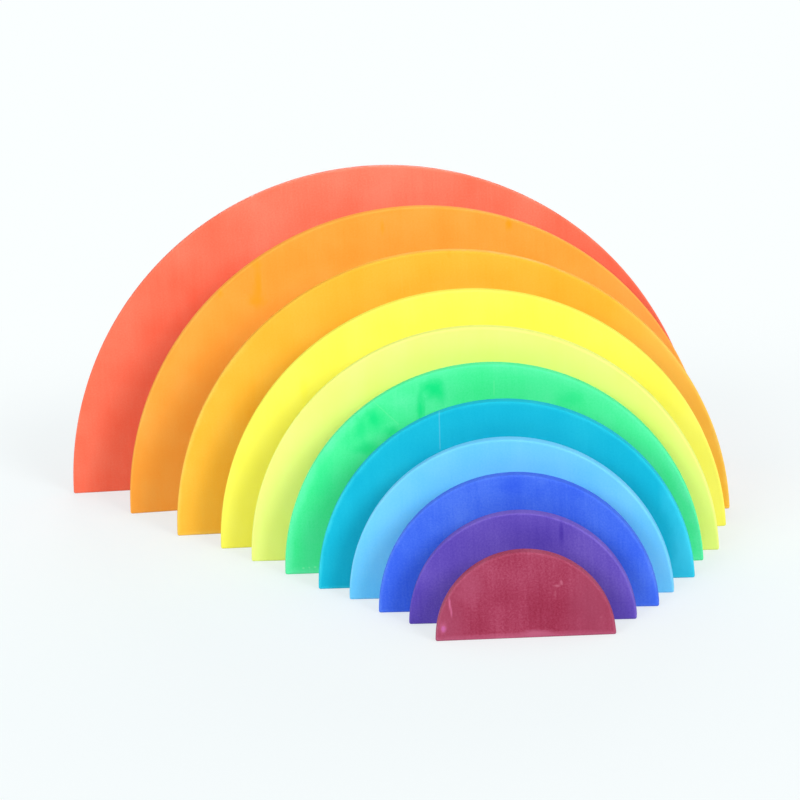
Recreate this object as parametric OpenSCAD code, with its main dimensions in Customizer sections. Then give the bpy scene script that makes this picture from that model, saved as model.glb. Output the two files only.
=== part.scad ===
// A rainbow set of half-disc boards, standing in a row on their straight edges, the largest at the back.
// X runs along the boards, Y runs from the front of the row to its back, and Z is up.
// The origin lies on the table, under the middle of the row's box.

/* [All boards] */
// Thickness of every board
board_thickness = 8; // [6:0.5:20]
// Radius that rounds the edges of both faces
edge_round = 1; // [0.5:0.1:2.8]
// Radius that rounds the two bottom corners, where the arc meets the base
corner_round = 1; // [1:0.5:8]
// Width of the saw cut that parts one disc into two boards
saw_cut = 2; // [0.5:0.5:5]

/* [Red board] */
// Radius of the arc
red_radius = 180; // [150:0.5:240]
// Turn about the vertical, with the right end going back when positive
red_turn = 1.5; // [-10:0.5:10]

/* [Orange board] */
// Radius of the arc
orange_radius = 163; // [130:0.5:220]
// Least gap to the board behind
orange_gap = 31.5; // [5:0.5:80]
// Step to the right from the board behind
orange_step = 19; // [-30:0.5:30]
// Turn about the vertical, with the right end going back when positive
orange_turn = 4.5; // [-10:0.5:10]

/* [Amber board] */
// Radius of the arc
amber_radius = 149; // [120:0.5:200]
// Least gap to the board behind
amber_gap = 49.5; // [5:0.5:80]
// Step to the right from the board behind
amber_step = 16; // [-30:0.5:30]
// Turn about the vertical, with the right end going back when positive
amber_turn = 0; // [-10:0.5:10]

/* [Yellow board] */
// Radius of the arc
yellow_radius = 133.5; // [105:0.5:180]
// Least gap to the board behind
yellow_gap = 24.5; // [5:0.5:80]
// Step to the right from the board behind
yellow_step = 9.5; // [-30:0.5:30]
// Turn about the vertical, with the right end going back when positive
yellow_turn = -1; // [-10:0.5:10]

/* [Lime board] */
// Radius of the arc
lime_radius = 121; // [95:0.5:160]
// Least gap to the board behind
lime_gap = 21; // [5:0.5:80]
// Step to the right from the board behind
lime_step = 4.5; // [-30:0.5:30]
// Turn about the vertical, with the right end going back when positive
lime_turn = -5.5; // [-10:0.5:10]

/* [Green board] */
// Radius of the arc
green_radius = 106.5; // [80:0.5:145]
// Least gap to the board behind
green_gap = 12.5; // [5:0.5:80]
// Step to the right from the board behind
green_step = 4; // [-30:0.5:30]
// Turn about the vertical, with the right end going back when positive
green_turn = -3.5; // [-10:0.5:10]

/* [Teal board] */
// Radius of the arc
teal_radius = 94; // [70:0.5:130]
// Least gap to the board behind
teal_gap = 22.5; // [5:0.5:80]
// Step to the right from the board behind
teal_step = 5; // [-30:0.5:30]
// Turn about the vertical, with the right end going back when positive
teal_turn = -4; // [-10:0.5:10]

/* [Sky blue board] */
// Radius of the arc
sky_radius = 80; // [60:0.5:110]
// Least gap to the board behind
sky_gap = 13; // [5:0.5:80]
// Step to the right from the board behind
sky_step = 1.5; // [-30:0.5:30]
// Turn about the vertical, with the right end going back when positive
sky_turn = -6; // [-10:0.5:10]

/* [Royal blue board] */
// Radius of the arc
royal_radius = 68; // [50:0.5:95]
// Least gap to the board behind
royal_gap = 16; // [5:0.5:80]
// Step to the right from the board behind
royal_step = 2.5; // [-30:0.5:30]
// Turn about the vertical, with the right end going back when positive
royal_turn = -5.5; // [-10:0.5:10]

/* [Purple board] */
// Radius of the arc
purple_radius = 54.5; // [40:0.5:80]
// Least gap to the board behind
purple_gap = 13.5; // [5:0.5:80]
// Step to the right from the board behind
purple_step = 1; // [-30:0.5:30]
// Turn about the vertical, with the right end going back when positive
purple_turn = -5.5; // [-10:0.5:10]

/* [Burgundy board] */
// Radius of the arc
burgundy_radius = 42.5; // [30:0.5:65]
// Least gap to the board behind
burgundy_gap = 17; // [5:0.5:80]
// Step to the right from the board behind
burgundy_step = 0; // [-30:0.5:30]
// Turn about the vertical, with the right end going back when positive
burgundy_turn = -2; // [-10:0.5:10]

/* [Hidden] */
$fn = 120;

// How far a cut or a clipping solid runs past what it shapes
overrun = 1;
// The disc's centre lies under the base by half the saw cut
sunk = saw_cut / 2;
half_thickness = board_thickness / 2;
// Half the flat strip left between the two rounded edges
half_flat = half_thickness - edge_round;

// The boards' own values, from the back of the row to its front
radii = [
    red_radius, orange_radius, amber_radius, yellow_radius, lime_radius, green_radius,
    teal_radius, sky_radius, royal_radius, purple_radius, burgundy_radius
];
turns = [
    red_turn, orange_turn, amber_turn, yellow_turn, lime_turn, green_turn,
    teal_turn, sky_turn, royal_turn, purple_turn, burgundy_turn
];
gaps = [
    0, orange_gap, amber_gap, yellow_gap, lime_gap, green_gap,
    teal_gap, sky_gap, royal_gap, purple_gap, burgundy_gap
];
steps = [
    0, orange_step, amber_step, yellow_step, lime_step, green_step,
    teal_step, sky_step, royal_step, purple_step, burgundy_step
];
count = len(radii);

// Sum of a list from its first entry up to the entry at last
function running_total(list, last) = last < 0 ? 0 : list[last] + running_total(list, last - 1);

// How far each turned board's half thickness reaches along the row, and how steeply its face runs
half_reaches = [for (turn = turns) half_thickness / cos(turn)];
slopes = [for (turn = turns) tan(turn)];

// Distance along the row from a board's middle to the middle of the board behind it.
// The gap is measured where the two faces come nearest, at one end of the smaller board.
function pitch(number) =
    gaps[number]
    + half_reaches[number - 1]
    + half_reaches[number]
    - steps[number] * slopes[number - 1]
    + radii[number] * abs(slopes[number - 1] - slopes[number]);

pitches = [for (number = [0 : count - 1]) number == 0 ? 0 : pitch(number)];
across = [for (number = [0 : count - 1]) running_total(steps, number)];
along = [for (number = [0 : count - 1]) -running_total(pitches, number)];

// Half of each board's box, across the row and along it
half_widths = [
    for (number = [0 : count - 1])
        radii[number] * cos(turns[number]) + half_flat * abs(sin(turns[number]))
];
half_depths = [
    for (number = [0 : count - 1])
        (radii[number] - edge_round) * abs(sin(turns[number])) + half_thickness * cos(turns[number])
];

// Middle of the row's box
middle_x = (max(across + half_widths) + min(across - half_widths)) / 2;
middle_y = (max(along + half_depths) + min(along - half_depths)) / 2;

// Half of a disc's section: its axis is at the left and its rounded rim at the right
module rim_section(radius) {
    inner = radius - edge_round;
    translate([0, -half_thickness]) square([inner, board_thickness]);
    translate([0, -half_flat]) square([radius, 2 * half_flat]);
    for (side = [-1, 1])
        translate([inner, side * half_flat])
        circle(edge_round);
}

// Cross-section of a straight bar with a flat base and rounded bottom edges, taller than the board
module base_section(radius) {
    height = radius + overrun;
    translate([-half_thickness, edge_round]) square([board_thickness, height]);
    translate([-half_flat, 0]) square([2 * half_flat, height]);
    for (side = [-1, 1])
        translate([side * half_flat, edge_round])
        circle(edge_round);
}

// What is taken off a bottom corner: all that lies outside a circle that touches the arc and the base
module corner_waste(radius) {
    rise = sunk + corner_round;
    out = sqrt(pow(radius - corner_round, 2) - pow(rise, 2));
    reach = (radius + overrun) / (radius - corner_round);
    difference() {
        polygon([
            [out, -overrun],
            [out, corner_round],
            [out * reach, rise * reach - sunk],
            [radius + overrun, -overrun]
        ]);
        translate([out, corner_round]) circle(corner_round);
    }
}

// One board on its base, with its faces square to Y
module half_disc(radius) {
    difference() {
        intersection() {
            translate([0, 0, -sunk])
            rotate([90, 0, 0])
            rotate_extrude()
            rim_section(radius);

            rotate([90, 0, 90])
            linear_extrude(2 * (radius + overrun), center = true)
            base_section(radius);
        }
        for (side = [0, 1])
            mirror([side, 0, 0])
            rotate([90, 0, 0])
            linear_extrude(board_thickness + overrun, center = true)
            corner_waste(radius);
    }
}

// A board in its place in the row, counted from the back
module stand_board(number) {
    translate([across[number] - middle_x, along[number] - middle_y, 0])
    rotate([0, 0, turns[number]])
    half_disc(radii[number]);
}

module red_board() {
    color("#F5603F") stand_board(0);
}

module orange_board() {
    color("#FA922B") stand_board(1);
}

module amber_board() {
    color("#FCB62F") stand_board(2);
}

module yellow_board() {
    color("#FBF03F") stand_board(3);
}

module lime_board() {
    color("#E6F76B") stand_board(4);
}

module green_board() {
    color("#3FDE86") stand_board(5);
}

module teal_board() {
    color("#14B0D2") stand_board(6);
}

module sky_blue_board() {
    color("#62BEF5") stand_board(7);
}

module royal_blue_board() {
    color("#3C5CE4") stand_board(8);
}

module purple_board() {
    color("#5E48B2") stand_board(9);
}

module burgundy_board() {
    color("#A83C56") stand_board(10);
}

red_board();
orange_board();
amber_board();
yellow_board();
lime_board();
green_board();
teal_board();
sky_blue_board();
royal_blue_board();
purple_board();
burgundy_board();
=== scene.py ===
"""Dresses a rainbow set of half-disc boards in stained wood, and stands it in a white studio."""

from math import asin, atan2, pi, radians
from typing import NamedTuple

import bmesh
import bpy
from bpy.props import EnumProperty, FloatProperty, FloatVectorProperty, PointerProperty
from mathutils import Matrix, Vector


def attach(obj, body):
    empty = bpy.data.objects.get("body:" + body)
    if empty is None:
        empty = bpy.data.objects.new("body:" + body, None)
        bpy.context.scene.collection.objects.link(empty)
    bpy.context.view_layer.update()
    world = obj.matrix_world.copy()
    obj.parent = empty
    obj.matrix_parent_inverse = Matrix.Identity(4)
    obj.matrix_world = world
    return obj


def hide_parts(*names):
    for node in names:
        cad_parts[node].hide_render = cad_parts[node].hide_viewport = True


bl_info = {
    "name": "Rainbow Stacker",
    "version": (1, 0, 0),
    "blender": (4, 5, 0),
    "location": "View3D > Sidebar > Rainbow",
    "description": "Builds a rainbow set of stained half-disc boards and the studio around it",
    "category": "Add Mesh",
}

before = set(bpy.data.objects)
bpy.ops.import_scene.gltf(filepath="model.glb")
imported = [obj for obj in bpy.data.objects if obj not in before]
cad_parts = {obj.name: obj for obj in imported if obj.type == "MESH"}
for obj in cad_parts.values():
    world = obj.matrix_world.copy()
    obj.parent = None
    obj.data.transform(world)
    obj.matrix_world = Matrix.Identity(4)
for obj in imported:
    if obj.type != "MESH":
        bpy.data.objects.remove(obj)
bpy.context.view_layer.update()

MM = 0.001
SENSOR_WIDTH = 36
BARE_WOOD = (0.92, 0.92, 0.86, 1.0)
WHITE = (1.0, 1.0, 1.0, 1.0)

# How much clouds, streaks and bands change the depth of a stain. The first two grow with its mottle
LEAST_CLOUDS = 0.03
CLOUDS_PER_MOTTLE = 0.6
STREAKS_PER_MOTTLE = 0.35
BANDS = 0.03

# The surface is matt and hardly shines, and its grain and mottle stand up a little
ROUGHNESS = 0.68
ROUGHNESS_SWING = 0.06
SPECULAR_LEVEL = 0.05
STREAK_HEIGHT = 0.6
BUMP_STRENGTH = 0.25
BUMP_DEPTH = 0.05 * MM

# Waves per millimetre across the grain, through the board and along the grain
FINE_GRAIN = (0.55, 0.55, 0.03)
BROAD_GRAIN = (0.06, 0.06, 0.01)

# Waves per millimetre of the other patterns, and per half size of a soft oval
EDGE_WAVES = 0.12
CLOUD_WAVES = 0.04
MOTTLE_WAVES = 1.0
OVAL_WAVES = 1.1

# How far the border of a soft oval strays, as a share of its half size
OVAL_STRAY = 1.2

# Places, as shares of a board's radius, between which the paler edge of its left end gives way to that
# of its right end, and that of its ends to that of its top. The edge is paler where it is worn, and
# where painted light lifts the rim's shade
LEFT_TO_RIGHT = (-0.5, 0.5)
ENDS_TO_TOP = (0.45, 0.9)

# Each board is cut from another piece of wood, so its patterns start this many millimetres further on
NEXT_PIECE = 311.0

# The boards from the back of the row to its front
BOARDS = (
    "red_board",
    "orange_board",
    "amber_board",
    "yellow_board",
    "lime_board",
    "green_board",
    "teal_board",
    "sky_blue_board",
    "royal_blue_board",
    "purple_board",
    "burgundy_board",
)


class Finish(NamedTuple):
    """How uneven a board's stain is, and how much thinner along its edge, at its top and its ends:
    partly worn, partly painted light that lifts the rim's shade.
    """

    mottle: float
    edge_width: float
    top_wear_and_painted_light: float
    left_wear_and_painted_light: float
    right_wear_and_painted_light: float


class Pool(NamedTuple):
    """A soft oval of deeper stain, or of thinner stain where depth is negative. A few of the thin ones
    are painted light.
    """

    x: float
    z: float
    half_width: float
    half_height: float
    depth: float


class Tint(NamedTuple):
    """A soft oval where a stain turns towards another colour."""

    x: float
    z: float
    half_width: float
    half_height: float
    colour: tuple
    strength: float


class Scratch(NamedTuple):
    """A straight pale scratch."""

    start: tuple
    end: tuple
    width: float
    strength: float


# Paler edges at the tops and ends are partly worn stain and partly painted light that lifts the shade
# on the rim strips, more on the left
FINISHES = {
    "red_board": Finish(0.06, 1.0, 0.00, 0.05, 0.05),
    "orange_board": Finish(0.05, 1.2, 0.02, 0.07, 0.07),
    "amber_board": Finish(0.05, 2.4, 0.00, 0.18, 0.20),
    "yellow_board": Finish(0.03, 1.0, 0.00, 0.00, 0.00),
    "lime_board": Finish(0.03, 1.0, 0.00, 0.02, 0.02),
    "green_board": Finish(0.08, 5.0, 0.09, 0.22, 0.15),
    "teal_board": Finish(0.05, 2.2, 0.10, 0.30, 0.20),
    "sky_blue_board": Finish(0.05, 1.2, 0.03, 0.12, 0.08),
    "royal_blue_board": Finish(0.09, 1.8, 0.02, 0.15, 0.10),
    "purple_board": Finish(0.08, 1.0, 0.13, 0.10, 0.14),
    "burgundy_board": Finish(0.13, 1.4, 0.10, 0.25, 0.20),
}

# Marks on the front of a board lie in millimetres along it from its middle, and up from its base
POOLS = {
    "red_board": (
        Pool(-102, 90, 10, 14, 0.05),
        # A paler top on the red board: painted sheen
        Pool(10, 172, 170, 80, -0.14),
    ),
    "amber_board": (
        Pool(4, 147, 1.5, 3, 0.10),
    ),
    "yellow_board": (
        Pool(-85, 84, 3, 8, 0.08),
        # A paler right end: painted light that lifts the shade on the right flank
        Pool(122, 40, 26, 70, -0.14),
    ),
    "green_board": (
        Pool(-45, 88, 9, 6, -0.15),
    ),
    "royal_blue_board": (
        Pool(2, 62, 16, 5, 0.12),
        Pool(11, 57, 6, 5, 0.08),
        Pool(-30, 50, 14, 16, -0.10),
        Pool(60, 12, 12, 16, -0.10),
    ),
    "purple_board": (
        Pool(20, 43, 1.6, 8, 0.18),
        Pool(12, 40, 22, 12, 0.06),
    ),
    "burgundy_board": (
        Pool(8, 9, 18, 10, 0.02),
        Pool(-20, 8, 6, 14, 0.03),
    ),
}

# Colours that the stains turn to: where they ran or pooled, or where they are worn or pale. The orange
# and amber ones are painted light, for the paler right ends of those boards
DRIP = (1.0, 0.376, 0.007)
PAINTED_LIGHT_ORANGE = (0.975, 0.42, 0.11)
PAINTED_LIGHT_AMBER = (0.965, 0.52, 0.11)
DEEP_GREEN = (0.006, 0.80, 0.235)
WORN_GREEN = (0.55, 1.0, 0.72)
WORN_TEAL = (0.10, 0.76, 0.98)
DULL_BURGUNDY = (0.345, 0.062, 0.118)
WORN_BURGUNDY = (0.56, 0.16, 0.24)
PALE_BURGUNDY = (0.50, 0.125, 0.22)
PINK_BURGUNDY = (0.62, 0.150, 0.29)
LILAC = (0.56, 0.135, 0.43)

TINTS = {
    "orange_board": (
        Tint(-84.8, 126, 2.4, 13, DRIP, 0.60),
        Tint(-85.4, 136, 3.8, 4, DRIP, 0.40),
        Tint(-86.2, 115.6, 6.0, 5, DRIP, 0.70),
        Tint(-85.6, 121, 3.6, 6, DRIP, 0.35),
        Tint(-106, 121, 2, 3, DRIP, 0.50),
        Tint(-15, 152, 1.6, 5, DRIP, 0.50),
        Tint(55, 149, 2.5, 4, DRIP, 0.85),
        # A paler right end: painted light that lifts the shade on the right flank
        Tint(132, 85, 42, 80, PAINTED_LIGHT_ORANGE, 0.40),
    ),
    "amber_board": (
        # A paler right end: painted light that lifts the shade on the right flank
        Tint(122, 70, 42, 75, PAINTED_LIGHT_AMBER, 0.50),
    ),
    "green_board": (
        Tint(-26, 94, 8, 7, DEEP_GREEN, 0.95),
        Tint(-22.8, 89.7, 3.5, 5, DEEP_GREEN, 0.50),
        Tint(-33.2, 84.5, 2.8, 10, DEEP_GREEN, 0.85),
        Tint(-57, 79, 6.5, 7, DEEP_GREEN, 0.85),
        Tint(-64, 74.5, 4.5, 8, DEEP_GREEN, 0.70),
        Tint(-61, 64.5, 9, 5, DEEP_GREEN, 0.70),
        Tint(-48.8, 72.4, 5, 4.5, DEEP_GREEN, 0.70),
        Tint(-70, 69, 7, 6, DEEP_GREEN, 0.30),
        Tint(-84, 52, 9, 16, DEEP_GREEN, 0.35),
        Tint(42, 86, 9, 6, DEEP_GREEN, 0.45),
        Tint(-97, 3.2, 0.7, 0.6, WORN_GREEN, 0.35),
        Tint(-94, 3.4, 0.5, 0.5, WORN_GREEN, 0.30),
        Tint(-91, 3.5, 0.8, 0.6, WORN_GREEN, 0.35),
    ),
    "teal_board": (
        Tint(93, 12, 14, 28, WORN_TEAL, 0.45),
        Tint(86, 42, 8, 18, WORN_TEAL, 0.25),
    ),
    "burgundy_board": (
        Tint(34, 12, 16, 26, DULL_BURGUNDY, 0.60),
        Tint(-37, 12, 12, 24, DULL_BURGUNDY, 0.60),
        Tint(-26, 28, 9, 12, PALE_BURGUNDY, 0.30),
        Tint(-38.6, 6.5, 2.2, 3.4, PINK_BURGUNDY, 0.45),
        Tint(-38.4, 6, 1.5, 1.8, LILAC, 0.60),
        Tint(-35.0, 18, 0.7, 3.6, PINK_BURGUNDY, 0.75),
        Tint(-34.4, 14, 0.6, 3.6, PINK_BURGUNDY, 0.60),
        Tint(15.4, 24.8, 1.9, 0.8, WORN_BURGUNDY, 0.50),
        Tint(17.6, 26.2, 1.0, 1.7, WORN_BURGUNDY, 0.55),
        Tint(14.6, 21, 0.6, 2.6, WORN_BURGUNDY, 0.25),
        Tint(0, 0.6, 70, 2.4, PALE_BURGUNDY, 0.55),
        Tint(5, 2.4, 9, 2.2, PALE_BURGUNDY, 0.60),
        Tint(35.6, 8.7, 0.7, 0.7, WORN_BURGUNDY, 0.25),
    ),
}

SCRATCHES = {
    "green_board": (
        Scratch((-57, 89), (-44.8, 76.5), 0.45, 0.045),
        Scratch((4.3, 97), (4.0, 90), 0.5, 0.05),
    ),
    "teal_board": (
        Scratch((-29.4, 89), (-29.8, 70), 0.4, 0.07),
    ),
}


def plain_name(node):
    """A node's name in plain words."""
    return node.replace("_", " ")


def stain(title, colour):
    """A colour property for one board's stain."""
    return FloatVectorProperty(
        name=title,
        description=f"Stain of the {title.lower()} board",
        subtype="COLOR",
        min=0,
        max=1,
        default=colour,
    )


class StackerStains(bpy.types.PropertyGroup):
    """The boards' stains, each as it looks under plain white light."""

    red_board: stain("Red", (0.96, 0.177, 0.099))
    orange_board: stain("Orange", (0.975, 0.402, 0.056))
    amber_board: stain("Amber", (0.965, 0.496, 0.045))
    yellow_board: stain("Yellow", (0.99, 0.935, 0.112))
    lime_board: stain("Lime", (0.90, 0.965, 0.226))
    green_board: stain("Green", (0.074, 0.885, 0.332))
    teal_board: stain("Teal", (0.0083, 0.476, 0.656))
    sky_blue_board: stain("Sky blue", (0.161, 0.616, 0.957))
    royal_blue_board: stain("Royal blue", (0.057, 0.155, 0.815))
    purple_board: stain("Purple", (0.129, 0.079, 0.482))
    burgundy_board: stain("Burgundy", (0.338, 0.0437, 0.091))


class StackerShape(bpy.types.PropertyGroup):
    """Sizes that all the boards share. Where and how large each board is comes from its solid."""

    edge_round: FloatProperty(
        name="Edge rounding",
        description="Radius that rounds both edges of the arc",
        default=0.001,
        min=0.0005,
        max=0.003,
        unit="LENGTH",
    )
    base_round: FloatProperty(
        name="Base rounding",
        description="Radius that rounds the edges and the ends of the base",
        default=0.001,
        min=0.0005,
        max=0.002,
        unit="LENGTH",
    )
    saw_cut: FloatProperty(
        name="Saw cut",
        description="Width of the cut that parts one disc into two boards",
        default=0.002,
        min=0.0005,
        max=0.005,
        unit="LENGTH",
    )
    arc_step: FloatProperty(
        name="Arc step",
        description="Length of one straight step along the arc",
        default=0.0025,
        min=0.002,
        max=0.01,
        unit="LENGTH",
    )


class StackerStage(bpy.types.PropertyGroup):
    """The floor, the light and the camera."""

    floor_colour: FloatVectorProperty(
        name="Floor",
        description="Colour of the floor",
        subtype="COLOR",
        min=0,
        max=1,
        default=(0.86, 0.94, 0.97),
    )
    plain_colour: FloatVectorProperty(
        name="Plain white",
        description="Colour of the far floor and of the room behind the boards",
        subtype="COLOR",
        min=0,
        max=1,
        default=(0.962, 1.0, 1.0),
    )
    plain_near: FloatProperty(
        name="Plain share",
        description="Share of plain white in the floor near the boards, which lightens their shadows",
        subtype="FACTOR",
        default=0.62,
        min=0,
        max=1,
    )
    plain_from: FloatProperty(
        name="Plain white from",
        description="Distance from the row's middle at which the floor begins to fade to plain white",
        default=0.25,
        unit="LENGTH",
    )
    plain_to: FloatProperty(
        name="Plain white to",
        description="Distance from the row's middle beyond which the floor is plain white",
        default=0.75,
        unit="LENGTH",
    )
    floor_reach: FloatProperty(
        name="Floor reach",
        description="How far the floor runs from the middle of the row",
        default=12,
        min=2,
        unit="LENGTH",
    )
    level_light: FloatProperty(
        name="Light from the sides",
        description="Brightness of the room near the horizon",
        default=0.20,
        min=0,
    )
    top_light: FloatProperty(
        name="Light from above",
        description="Brightness of the room overhead",
        default=0.80,
        min=0,
    )
    right_light: FloatProperty(
        name="Right lamp",
        description="Brightness of the broad lamp to the right of the view",
        default=0.46,
        min=0,
    )
    left_light: FloatProperty(
        name="Left lamp",
        description="Brightness of the broad lamp to the left of the view",
        default=0.31,
        min=0,
    )
    back_light: FloatProperty(
        name="Back lamp",
        description="Brightness of the low lamp behind the row, which the camera's side hardly shows",
        default=0.36,
        min=0,
    )
    lamp_side: FloatProperty(
        name="Lamp side",
        description="How far the right and the left lamp stand to the side of the view",
        subtype="ANGLE",
        default=radians(33),
    )
    lamp_rise: FloatProperty(
        name="Lamp rise",
        description="How high the right and the left lamp stand. The back lamp is half as high",
        subtype="ANGLE",
        default=radians(25),
    )
    lamp_spread: FloatProperty(
        name="Lamp spread",
        description="How wide each lamp looks from the boards",
        subtype="ANGLE",
        default=radians(22),
    )
    eye: FloatVectorProperty(
        name="Eye",
        description="Where the camera stands",
        subtype="XYZ",
        unit="LENGTH",
        default=(0.0074, -1.62217, 0.42287),
    )
    look_down: FloatProperty(
        name="Look down",
        description="How far the camera looks down from level",
        subtype="ANGLE",
        default=radians(11.952),
    )
    roll: FloatProperty(
        name="Roll",
        description="How far the camera leans about its line of sight",
        subtype="ANGLE",
        default=radians(-2.841),
    )
    lens: FloatProperty(
        name="Lens",
        description="Focal length in millimetres on a sensor 36 mm wide",
        default=144,
        min=10,
    )


class Place(NamedTuple):
    """Where a board stands and how large it is."""

    middle: Vector
    turn: float
    radius: float
    thickness: float


def find_place(node, saw_cut):
    """Read a board's place and size from its solid."""
    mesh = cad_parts[node].data
    front = max(mesh.polygons, key=lambda face: face.area).normal.copy()
    if front.y > 0:
        front.negate()
    along = Vector((-front.y, front.x, 0))
    points = [vertex.co for vertex in mesh.vertices]
    across = [along.dot(point) for point in points]
    depth = [front.dot(point) for point in points]
    middle = along * (max(across) + min(across)) / 2 + front * (max(depth) + min(depth)) / 2
    height = max(point.z for point in points)
    return Place(middle, atan2(front.x, -front.y), height + saw_cut / 2, max(depth) - min(depth))


def half_disc(place, shape):
    """A half disc with a rounded rim and rounded base edges, standing in its place."""
    rim_steps = 5
    base_steps = 4
    slack = MM / 100
    half = place.thickness / 2
    flat = half - shape.edge_round
    inner = place.radius - shape.edge_round
    sunk = shape.saw_cut / 2
    tilt = asin(sunk / place.radius)
    board = bmesh.new()

    # The rim's section: a rounded corner, a flat strip and another rounded corner
    corner = bmesh.ops.create_vert(board, co=(inner, -half, 0))["vert"][0]
    quarter = {"axis": (0, 0, 1), "angle": pi / 2, "steps": rim_steps}
    turned = bmesh.ops.spin(board, geom=[corner], cent=(inner, -flat, 0), **quarter)
    strip = bmesh.ops.extrude_vert_indiv(board, verts=turned["geom_last"])["verts"]
    bmesh.ops.translate(board, verts=strip, vec=(0, 2 * flat, 0))
    bmesh.ops.spin(board, geom=strip, cent=(inner, flat, 0), **quarter)

    # The section swings over the arc, from where it leaves the base to where it comes back
    first = board.verts[:]
    section = first + board.edges[:]
    up = Matrix.Rotation(-tilt, 3, "Y")
    bmesh.ops.rotate(board, verts=first, cent=(0, 0, 0), matrix=up)
    bmesh.ops.translate(board, verts=first, vec=(0, 0, -sunk))
    swing = pi - 2 * tilt
    swept = bmesh.ops.spin(
        board,
        geom=section,
        cent=(0, 0, -sunk),
        axis=(0, -1, 0),
        angle=swing,
        steps=round(place.radius * swing / shape.arc_step),
    )
    last = [item for item in swept["geom_last"] if isinstance(item, bmesh.types.BMVert)]
    bmesh.ops.scale(board, verts=first + last, vec=(1, 1, 0))

    # Two straight edges close the base and both faces
    base = []
    for pick in (min, max):
        ends = [pick(side, key=lambda vert: vert.co.y) for side in (first, last)]
        straight = bmesh.ops.contextual_create(board, geom=ends)["edges"]
        y = ends[0].co.y
        level = {vert for vert in board.verts if abs(vert.co.y - y) < slack}
        rim = [edge for edge in board.edges if level.issuperset(edge.verts)]
        bmesh.ops.edgeloop_fill(board, edges=rim)
        base += straight
    ends = set(first + last)
    open_ends = [edge for edge in board.edges if edge.is_boundary and ends.issuperset(edge.verts)]
    base += [edge for edge in open_ends if edge not in base]
    sole = bmesh.ops.edgeloop_fill(board, edges=base)["faces"][0]
    bmesh.ops.bevel(
        board,
        geom=sole.edges[:],
        offset=shape.base_round,
        offset_type="OFFSET",
        segments=base_steps,
        profile=0.5,
        affect="EDGES",
        material=-1,
    )
    bmesh.ops.recalc_face_normals(board, faces=board.faces)
    for face in board.faces:
        face.smooth = len(face.verts) <= 4
    stand = Matrix.Translation(place.middle) @ Matrix.Rotation(place.turn, 4, "Z")
    bmesh.ops.transform(board, matrix=stand, verts=board.verts)
    return board


def add_piece(name, board):
    """Turn a finished bmesh into an object."""
    mesh = bpy.data.meshes.new(name)
    board.to_mesh(mesh)
    board.free()
    piece = bpy.data.objects.new(name, mesh)
    bpy.context.scene.collection.objects.link(piece)
    return piece


def feed(tree, socket, value):
    """Link an input to another node's output, or set its value."""
    if isinstance(value, bpy.types.NodeSocket):
        tree.links.new(value, socket)
    else:
        socket.default_value = value


def add_node(tree, kind, inputs=None, **settings):
    """Add a shader node with its settings and its inputs."""
    node = tree.nodes.new("ShaderNode" + kind)
    for name, value in settings.items():
        setattr(node, name, value)
    for key, value in (inputs or {}).items():
        feed(tree, node.inputs[key], value)
    return node


def calculate(tree, operation, first, second=0.0):
    """A number worked out from one or two others."""
    return add_node(tree, "Math", {0: first, 1: second}, operation=operation).outputs[0]


def calculate_vector(tree, operation, first, second=(0, 0, 0)):
    """A vector worked out from one or two others."""
    return add_node(tree, "VectorMath", {0: first, 1: second}, operation=operation).outputs["Vector"]


def measure(tree, operation, first, second=(0, 0, 0)):
    """A number worked out from one or two vectors."""
    return add_node(tree, "VectorMath", {0: first, 1: second}, operation=operation).outputs["Value"]


def ramp(tree, value, zero_at, one_at):
    """A soft step from zero to one as the value goes from zero_at to one_at."""
    inputs = {"Value": value, "From Min": zero_at, "From Max": one_at}
    return add_node(tree, "MapRange", inputs, interpolation_type="SMOOTHSTEP").outputs["Result"]


def add_up(tree, value, times, more):
    """A number times another, added to a third."""
    return add_node(tree, "Math", {0: value, 1: times, 2: more}, operation="MULTIPLY_ADD").outputs[0]


def spread(tree, value):
    """Noise that lies near a half, spread out from minus one to one."""
    inputs = {"Value": value, "From Min": 0.3, "From Max": 0.7, "To Min": -1.0, "To Max": 1.0}
    return add_node(tree, "MapRange", inputs).outputs["Result"]


def blend(tree, factor, below, above):
    """One colour laid over another."""
    node = add_node(tree, "Mix", data_type="RGBA")
    values = {("Factor", "VALUE"): factor, ("A", "RGBA"): below, ("B", "RGBA"): above}
    for socket in node.inputs:
        if (socket.name, socket.type) in values:
            feed(tree, socket, values[socket.name, socket.type])
    return next(socket for socket in node.outputs if socket.type == "RGBA")


def noise(tree, vector, scale, detail=2.0, roughness=0.5):
    """Smooth noise from zero to one."""
    inputs = {"Vector": vector, "Scale": scale, "Detail": detail, "Roughness": roughness}
    return add_node(tree, "TexNoise", inputs).outputs["Fac"]


SOCKETS = {"vector": "NodeSocketVector", "value": "NodeSocketFloat"}


def new_group(name, inputs, outputs):
    """An empty shader group with named sockets: its tree, what it is given and what it puts out."""
    tree = bpy.data.node_groups.new(name, "ShaderNodeTree")
    for title, kind in inputs.items():
        tree.interface.new_socket(title, in_out="INPUT", socket_type=SOCKETS[kind])
    for title in outputs:
        tree.interface.new_socket(title, in_out="OUTPUT", socket_type=SOCKETS["value"])
    given = tree.nodes.new("NodeGroupInput")
    result = tree.nodes.new("NodeGroupOutput")
    return tree, given.outputs, result.inputs


def front_side(tree, given):
    """One on the front half of a board's thickness and zero on its back half."""
    depth = add_node(tree, "SeparateXYZ", {0: given["Place"]}).outputs["Y"]
    return calculate(tree, "LESS_THAN", depth, 0.0)


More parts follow.
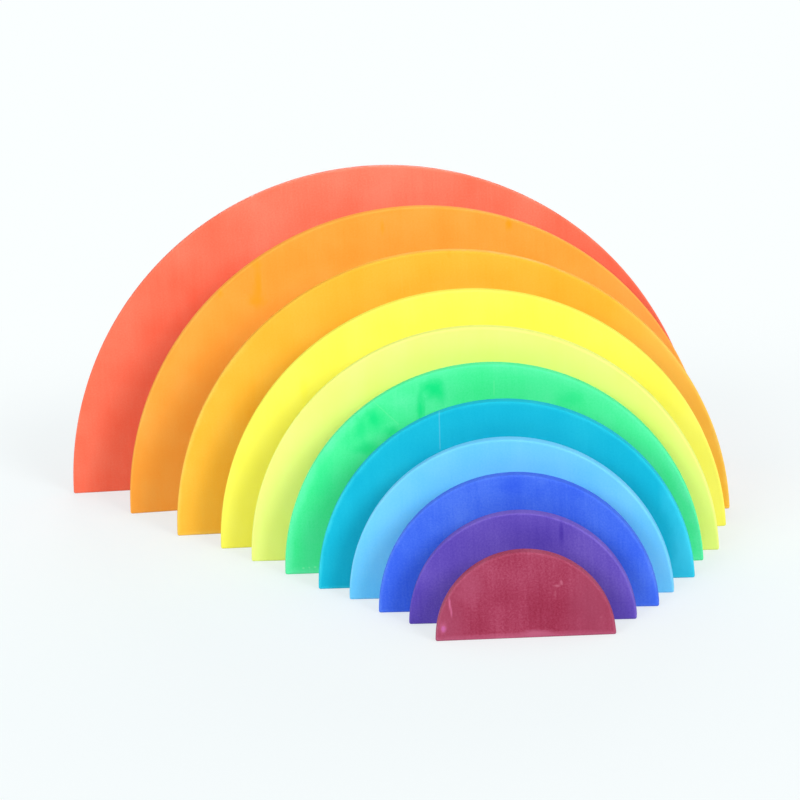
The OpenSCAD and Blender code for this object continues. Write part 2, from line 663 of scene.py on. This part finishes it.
def edge_group():
    """A paler edge with an uneven border, where the stain is worn and where painted light lifts the
    rim's shade, and where a point lies as shares of the board's radius.
    """
    inputs = {"Place": "vector", "Radius": "value", "Sunk": "value", "Width": "value"}
    tree, given, result = new_group("Worn edge", inputs, ("Wear", "Across", "Up"))
    axes = add_node(tree, "SeparateXYZ", {0: given["Place"]}).outputs
    above_axis = calculate(tree, "ADD", axes["Z"], given["Sunk"])
    arm = add_node(tree, "CombineXYZ", {"X": axes["X"], "Z": above_axis}).outputs[0]
    from_arc = calculate(tree, "SUBTRACT", given["Radius"], measure(tree, "LENGTH", arm))
    from_edge = calculate(tree, "MINIMUM", from_arc, axes["Z"])
    uneven = calculate(tree, "SUBTRACT", noise(tree, given["Place"], EDGE_WAVES, detail=3.0), 0.5)
    share = calculate(tree, "ADD", calculate(tree, "DIVIDE", from_edge, given["Width"]), uneven)
    tree.links.new(ramp(tree, share, zero_at=1.1, one_at=0.2), result["Wear"])
    tree.links.new(calculate(tree, "DIVIDE", axes["X"], given["Radius"]), result["Across"])
    tree.links.new(calculate(tree, "DIVIDE", axes["Z"], given["Radius"]), result["Up"])
    return tree


def grain_group():
    """Upright wood grain: fine streaks and broad bands, each from minus one to one."""
    tree, given, result = new_group("Upright grain", {"Place": "vector"}, ("Streaks", "Bands"))
    fine = calculate_vector(tree, "MULTIPLY", given["Place"], FINE_GRAIN)
    broad = calculate_vector(tree, "MULTIPLY", given["Place"], BROAD_GRAIN)
    streaks = noise(tree, fine, 1.0, detail=3.0, roughness=0.6)
    bands = noise(tree, broad, 1.0)
    tree.links.new(spread(tree, streaks), result["Streaks"])
    tree.links.new(spread(tree, bands), result["Bands"])
    return tree


def cloud_group():
    """Uneven stain: broad clouds and fine mottling, each from minus one to one."""
    tree, given, result = new_group("Uneven stain", {"Place": "vector"}, ("Clouds", "Mottle"))
    clouds = noise(tree, given["Place"], CLOUD_WAVES)
    mottle = noise(tree, given["Place"], MOTTLE_WAVES, detail=3.0, roughness=0.7)
    tree.links.new(spread(tree, clouds), result["Clouds"])
    tree.links.new(spread(tree, mottle), result["Mottle"])
    return tree


def oval_group():
    """A soft oval with an uneven border on a board's front."""
    inputs = {"Place": "vector", "Middle": "vector", "Half size": "vector"}
    tree, given, result = new_group("Soft oval", inputs, ("Oval",))
    away = calculate_vector(tree, "SUBTRACT", given["Place"], given["Middle"])
    share = calculate_vector(tree, "DIVIDE", away, given["Half size"])
    flat = calculate_vector(tree, "MULTIPLY", share, (1, 0, 1))
    own = calculate_vector(tree, "ADD", flat, given["Middle"])
    border = noise(tree, own, OVAL_WAVES, detail=3.0, roughness=0.6)
    uneven = calculate(tree, "SUBTRACT", border, 0.5)
    reach = add_up(tree, uneven, OVAL_STRAY, measure(tree, "LENGTH", flat))
    oval = ramp(tree, reach, zero_at=1.2, one_at=0.1)
    tree.links.new(calculate(tree, "MULTIPLY", oval, front_side(tree, given)), result["Oval"])
    return tree


def scratch_group():
    """A straight scratch between two points on a board's front."""
    inputs = {"Place": "vector", "Start": "vector", "End": "vector", "Width": "value"}
    tree, given, result = new_group("Scratch", inputs, ("Scratch",))
    flat = calculate_vector(tree, "MULTIPLY", given["Place"], (1, 0, 1))
    arm = calculate_vector(tree, "SUBTRACT", flat, given["Start"])
    run = calculate_vector(tree, "SUBTRACT", given["End"], given["Start"])
    reach = measure(tree, "DOT_PRODUCT", arm, run)
    along = calculate(tree, "DIVIDE", reach, measure(tree, "DOT_PRODUCT", run, run))
    along.node.use_clamp = True
    scaled = add_node(tree, "VectorMath", {0: run, "Scale": along}, operation="SCALE")
    nearest = scaled.outputs["Vector"]
    gap = measure(tree, "LENGTH", calculate_vector(tree, "SUBTRACT", arm, nearest))
    line = ramp(tree, calculate(tree, "DIVIDE", gap, given["Width"]), zero_at=1.0, one_at=0.2)
    tree.links.new(calculate(tree, "MULTIPLY", line, front_side(tree, given)), result["Scratch"])
    return tree


GROUPS = {
    "Worn edge": edge_group,
    "Upright grain": grain_group,
    "Uneven stain": cloud_group,
    "Soft oval": oval_group,
    "Scratch": scratch_group,
}


def use_group(tree, name, inputs):
    """Place a shared group in a material. It is built the first time it is needed."""
    group = bpy.data.node_groups.get(name) or GROUPS[name]()
    return add_node(tree, "Group", inputs, node_tree=group).outputs


def soft_oval(tree, spot, mark):
    """The mask of a mark that is a soft oval."""
    inputs = {
        "Place": spot,
        "Middle": (mark.x, 0, mark.z),
        "Half size": (mark.half_width, 1, mark.half_height),
    }
    return use_group(tree, "Soft oval", inputs)["Oval"]


def stained_wood(node, place, shape, colour):
    """Smooth wood under a thin matt stain, with grain, edges paler where worn and where painted light
    lifts their shade, and the board's own marks, a few of them painted light.
    """
    title = plain_name(node.replace("_board", "_stained_wood")).capitalize()
    material = bpy.data.materials.new(title)
    material.use_nodes = True
    tree = material.node_tree
    shader = tree.nodes["Principled BSDF"]
    finish = FINISHES[node]

    # Millimetres along the board, through it and up from its base
    row = add_node(tree, "TexCoord").outputs["Object"]
    inputs = {
        "Vector": row,
        "Location": place.middle,
        "Rotation": (0, 0, place.turn),
        "Scale": (MM, MM, MM),
    }
    spot = add_node(tree, "Mapping", inputs, vector_type="TEXTURE").outputs[0]

    own = calculate_vector(tree, "ADD", spot, (BOARDS.index(node) * NEXT_PIECE, 0, 0))
    grain = use_group(tree, "Upright grain", {"Place": own})
    cloud = use_group(tree, "Uneven stain", {"Place": own})
    inputs = {
        "Place": spot,
        "Radius": place.radius / MM,
        "Sunk": shape.saw_cut / 2 / MM,
        "Width": finish.edge_width,
    }
    edge = use_group(tree, "Worn edge", inputs)

    # How deep the stain lies, with one as the board's own colour
    clouds = LEAST_CLOUDS + finish.mottle * CLOUDS_PER_MOTTLE
    depth = add_up(tree, cloud["Clouds"], clouds, 1.0)
    depth = add_up(tree, grain["Bands"], BANDS, depth)
    depth = add_up(tree, grain["Streaks"], finish.mottle * STREAKS_PER_MOTTLE, depth)
    depth = add_up(tree, cloud["Mottle"], finish.mottle, depth)
    for pool in POOLS.get(node, ()):
        depth = add_up(tree, soft_oval(tree, spot, pool), pool.depth, depth)
    # Paler edges: partly worn stain, partly painted light that lifts the rim's shade
    right = ramp(tree, edge["Across"], *LEFT_TO_RIGHT)
    ends = add_up(tree, right, finish.right_wear_and_painted_light - finish.left_wear_and_painted_light, finish.left_wear_and_painted_light)
    top = ramp(tree, edge["Up"], *ENDS_TO_TOP)
    wear_and_painted_light = add_up(tree, top, calculate(tree, "SUBTRACT", finish.top_wear_and_painted_light, ends), ends)
    depth = calculate(tree, "SUBTRACT", depth, calculate(tree, "MULTIPLY", edge["Wear"], wear_and_painted_light))
    look = calculate_vector(tree, "POWER", tuple(colour), depth)

    for tint in TINTS.get(node, ()):
        share = calculate(tree, "MULTIPLY", soft_oval(tree, spot, tint), tint.strength)
        look = blend(tree, share, look, (*tint.colour, 1.0))
    for scratch in SCRATCHES.get(node, ()):
        inputs = {
            "Place": spot,
            "Start": (scratch.start[0], 0, scratch.start[1]),
            "End": (scratch.end[0], 0, scratch.end[1]),
            "Width": scratch.width,
        }
        line = use_group(tree, "Scratch", inputs)["Scratch"]
        share = calculate(tree, "MULTIPLY", line, scratch.strength)
        look = blend(tree, share, look, BARE_WOOD)

    tree.links.new(look, shader.inputs["Base Color"])
    roughness = add_up(tree, cloud["Mottle"], ROUGHNESS_SWING, ROUGHNESS)
    tree.links.new(roughness, shader.inputs["Roughness"])
    shader.inputs["Specular IOR Level"].default_value = SPECULAR_LEVEL
    height = add_up(tree, grain["Streaks"], STREAK_HEIGHT, cloud["Mottle"])
    bump = add_node(tree, "Bump", {"Strength": BUMP_STRENGTH, "Distance": BUMP_DEPTH, "Height": height})
    tree.links.new(bump.outputs[0], shader.inputs["Normal"])
    return material


def board_items():
    """The boards as choices for an operator."""
    return [(node, plain_name(node).capitalize(), f"Make the {plain_name(node)}") for node in BOARDS]


class STACKER_OT_add_board(bpy.types.Operator):
    """Make one half-disc board in its place in the row"""

    bl_idname = "stacker.add_board"
    bl_label = "Add Board"

    board: EnumProperty(name="Board", description="Which board to make", items=board_items())

    def execute(self, context):
        shape = context.scene.stacker_shape
        place = find_place(self.board, shape.saw_cut)
        piece = add_piece(self.board.replace("_board", "_half_disc"), half_disc(place, shape))
        colour = getattr(context.scene.stacker_stains, self.board)
        piece.data.materials.append(stained_wood(self.board, place, shape, colour))
        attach(piece, self.board)
        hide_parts(self.board)
        return {"FINISHED"}


def camera_share(tree, share):
    """A share that only what is seen, straight or in gloss or glass, gets."""
    ray = add_node(tree, "LightPath").outputs
    seen = calculate(tree, "MAXIMUM", ray["Is Camera Ray"], ray["Is Glossy Ray"])
    seen = calculate(tree, "MAXIMUM", seen, ray["Is Transmission Ray"])
    return calculate(tree, "MULTIPLY", seen, share)


def white_floor(stage):
    """A pale floor that keeps the boards' shadows and fades to plain white further off."""
    material = bpy.data.materials.new("Pale floor")
    material.use_nodes = True
    tree = material.node_tree
    tree.nodes.clear()
    surface = add_node(tree, "BsdfDiffuse", {"Color": (*stage.floor_colour, 1.0)}).outputs[0]
    white = add_node(tree, "Emission", {"Color": (*stage.plain_colour, 1.0)}).outputs[0]
    spot = add_node(tree, "TexCoord").outputs["Object"]
    far = ramp(tree, measure(tree, "LENGTH", spot), stage.plain_from, stage.plain_to)
    share = camera_share(tree, add_up(tree, far, 1 - stage.plain_near, stage.plain_near))
    mixed = add_node(tree, "MixShader", {0: share, 1: surface, 2: white}).outputs[0]
    add_node(tree, "OutputMaterial", {"Surface": mixed})
    return material


def white_room(stage):
    """A room that lights the boards more from above, and that looks plain white."""
    world = bpy.data.worlds.new("White room")
    world.use_nodes = True
    tree = world.node_tree
    tree.nodes.clear()
    way = add_node(tree, "TexCoord").outputs["Generated"]
    rise = add_node(tree, "SeparateXYZ", {0: way}).outputs["Z"]
    inputs = {"Value": rise, "To Min": stage.level_light, "To Max": stage.top_light}
    strength = add_node(tree, "MapRange", inputs).outputs["Result"]
    light = add_node(tree, "Background", {"Color": WHITE, "Strength": strength}).outputs[0]
    white = add_node(tree, "Background", {"Color": (*stage.plain_colour, 1.0)}).outputs[0]
    mixed = add_node(tree, "MixShader", {0: camera_share(tree, 1.0), 1: light, 2: white}).outputs[0]
    add_node(tree, "OutputWorld", {"Surface": mixed})
    return world


def add_lamp(name, brightness, rise, side, angle):
    """A far lamp, raised above the horizon and turned from the front of the row to one side."""
    lamp = bpy.data.lights.new(name, "SUN")
    lamp.energy = brightness * pi
    lamp.angle = angle
    piece = bpy.data.objects.new(name, lamp)
    piece.rotation_euler = (pi / 2 - rise, 0, side)
    bpy.context.scene.collection.objects.link(piece)


class STACKER_OT_add_stage(bpy.types.Operator):
    """Make the floor, the light and the camera"""

    bl_idname = "stacker.add_stage"
    bl_label = "Add Stage"

    def execute(self, context):
        scene = context.scene
        stage = scene.stacker_stage
        ground = bmesh.new()
        bmesh.ops.create_grid(ground, x_segments=1, y_segments=1, size=stage.floor_reach)
        floor = add_piece("floor", ground)
        floor.data.materials.append(white_floor(stage))

        scene.world = white_room(stage)
        add_lamp("right_lamp", stage.right_light, stage.lamp_rise, stage.lamp_side, stage.lamp_spread)
        add_lamp("left_lamp", stage.left_light, stage.lamp_rise, -stage.lamp_side, stage.lamp_spread)
        add_lamp("back_lamp", stage.back_light, stage.lamp_rise / 2, pi, stage.lamp_spread)

        sight = bpy.data.cameras.new("camera")
        sight.sensor_width = SENSOR_WIDTH
        sight.lens = stage.lens
        camera = bpy.data.objects.new("camera", sight)
        camera.location = stage.eye
        camera.rotation_mode = "ZYX"
        camera.rotation_euler = (pi / 2 - stage.look_down, 0, stage.roll)
        scene.collection.objects.link(camera)
        scene.camera = camera
        scene.view_settings.view_transform = "Standard"
        return {"FINISHED"}


class STACKER_PT_panel(bpy.types.Panel):
    """Lists the boards and the stage in the sidebar"""

    bl_idname = "STACKER_PT_panel"
    bl_label = "Rainbow Stacker"
    bl_space_type = "VIEW_3D"
    bl_region_type = "UI"
    bl_category = "Rainbow"

    def draw(self, context):
        scene = context.scene
        for node in BOARDS:
            row = self.layout.row()
            title = plain_name(node).capitalize()
            button = row.operator(STACKER_OT_add_board.bl_idname, text=title)
            button.board = node
            row.prop(scene.stacker_stains, node, text="")
        for settings in (scene.stacker_shape, scene.stacker_stage):
            box = self.layout.box()
            for name in settings.__annotations__:
                box.prop(settings, name)
        self.layout.operator(STACKER_OT_add_stage.bl_idname)


CLASSES = (
    StackerStains,
    StackerShape,
    StackerStage,
    STACKER_OT_add_board,
    STACKER_OT_add_stage,
    STACKER_PT_panel,
)


def register():
    """Add the classes and the scene's settings."""
    for item in CLASSES:
        bpy.utils.register_class(item)
    bpy.types.Scene.stacker_stains = PointerProperty(type=StackerStains)
    bpy.types.Scene.stacker_shape = PointerProperty(type=StackerShape)
    bpy.types.Scene.stacker_stage = PointerProperty(type=StackerStage)


def unregister():
    """Remove the scene's settings and the classes."""
    del bpy.types.Scene.stacker_stage
    del bpy.types.Scene.stacker_shape
    del bpy.types.Scene.stacker_stains
    for item in reversed(CLASSES):
        bpy.utils.unregister_class(item)


def main():
    """Build the boards and the stage."""
    register()
    for node in BOARDS:
        bpy.ops.stacker.add_board(board=node)
    bpy.ops.stacker.add_stage()


if __name__ == "__main__":
    main()
